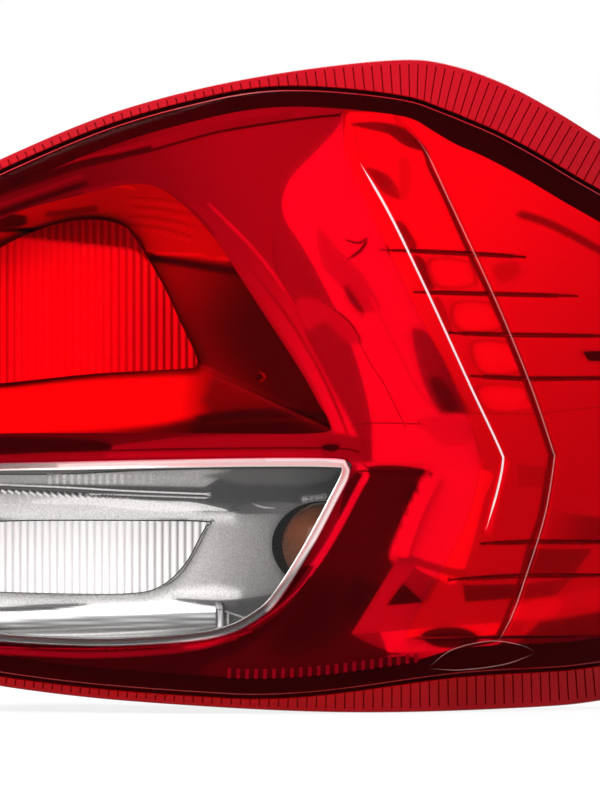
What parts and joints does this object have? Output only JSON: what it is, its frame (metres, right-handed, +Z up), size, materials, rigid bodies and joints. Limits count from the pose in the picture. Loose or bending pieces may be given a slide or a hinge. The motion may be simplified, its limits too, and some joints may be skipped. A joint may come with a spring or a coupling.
{
  "type": "tail light cluster",
  "caption": "Right-hand wrap-around tail light with red and clear lens, fluted chambers, side light blocks, black housing, bulb carrier and rear studs.",
  "frame": {"origin": "centre of the main stud where it leaves its boss on the housing's flat back", "axes": "+X to the right-hand side of the car, +Y forwards into the body along the studs, +Z up"},
  "size_m": [0.1886, 0.1929, 0.1811],
  "materials": {
    "red_lens": "polished red moulding",
    "clear_lens": "polished clear moulding",
    "housing_plastic": "fine moulded grain",
    "bezel_finish": "bright coated moulding",
    "trim_chrome": "mirror bright",
    "reflector": "bright coated moulding",
    "fluted_red": "polished flutes",
    "reflector_grain": "silver with fine grain",
    "fluted_clear": "polished flutes",
    "block_red": "polished red moulding",
    "bar_pink": "polished",
    "tray_silver": "bright coated moulding",
    "board": "solder mask",
    "led": "moulded resin",
    "white_plastic": "smooth",
    "bulb_clear": "polished",
    "bulb_amber": "amber coating",
    "base_brass": "drawn",
    "black_plastic": "smooth",
    "carrier_plastic": "fine moulded grain",
    "seal_rubber": "matt",
    "screw_steel": "zinc",
    "pin_brass": "bright",
    "gasket_rubber": "matt moulded",
    "stud_steel": "zinc"
  },
  "bodies": {
    "root": {"outer_lens": "red_lens", "clear_window": "clear_lens", "housing": "housing_plastic", "bezel": "bezel_finish", "rib_strip": "red_lens", "window_trim": "trim_chrome", "stop_reflector": "reflector", "stop_inner_lens": "fluted_red", "signal_reflector": "reflector_grain", "reverse_inner_lens": "fluted_clear", "light_blocks": "block_red", "light_bar": "bar_pink", "light_tray": "tray_silver", "led_board": "board", "leds": "led", "board_spacers": "white_plastic", "stop_bulb_glass": "bulb_clear", "stop_bulb_base": "base_brass", "reverse_bulb_glass": "bulb_clear", "reverse_bulb_base": "base_brass", "signal_bulb_glass": "bulb_amber", "signal_bulb_base": "base_brass", "signal_bulb_holder": "black_plastic", "bulb_carrier": "carrier_plastic", "carrier_seal": "seal_rubber", "carrier_screws": "screw_steel", "plug_socket": "black_plastic", "socket_pins": "pin_brass", "body_gasket": "gasket_rubber", "main_stud": "stud_steel", "upper_stud": "stud_steel", "lower_stud": "stud_steel", "locating_peg": "housing_plastic", "vent_cap": "black_plastic"}
  },
  "joints": []
}
